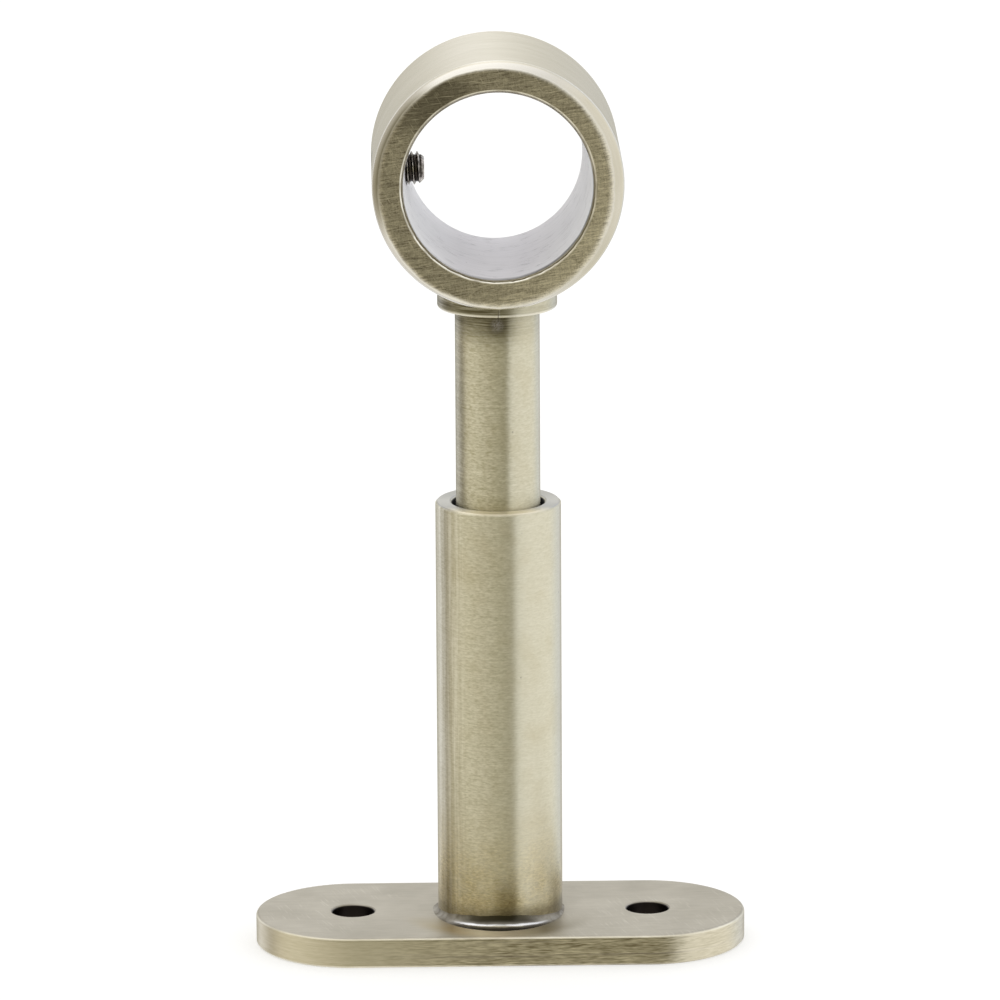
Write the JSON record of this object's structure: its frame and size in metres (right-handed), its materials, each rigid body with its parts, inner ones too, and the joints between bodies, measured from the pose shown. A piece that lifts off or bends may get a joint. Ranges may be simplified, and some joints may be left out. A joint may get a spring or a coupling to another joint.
{
  "type": "curtain pole bracket",
  "caption": "Telescopic curtain pole bracket: a ring on a stem that slides in a tube brazed to a round-ended fixing plate, with grub screws for the pole and the stem.",
  "frame": {"origin": "middle of the plate's fixing face", "axes": "+Z along the tube away from the wall, X along the plate, Y along the pole with the front at -Y"},
  "size_m": [0.071, 0.0282, 0.1318],
  "materials": {
    "antique_brass": "brushed antique brass plating, satin",
    "braze_metal": "bare silvery braze, uneven",
    "screw_steel": "dark steel, satin"
  },
  "bodies": {
    "base": {"base_plate": "antique_brass", "outer_tube": "antique_brass", "braze_fillet": "braze_metal"},
    "head": {"ring_stem": "antique_brass"},
    "pole_screw": {"pole_screw": "screw_steel"},
    "lock_screw": {"lock_screw": "screw_steel"}
  },
  "joints": [
    {"name": "stem_slide", "type": "slide", "parent": "base", "child": "head", "axis": [0, 0, 1], "range_m": [-0.0283, 0.0135]},
    {"name": "pole_screw_travel", "type": "slide", "parent": "head", "child": "pole_screw", "axis": [1, 0, 0], "range_m": [-0.0032, 0.001]},
    {"name": "lock_screw_travel", "type": "slide", "parent": "base", "child": "lock_screw", "axis": [0, 1, 0], "range_m": [0, 0.002]}
  ]
}
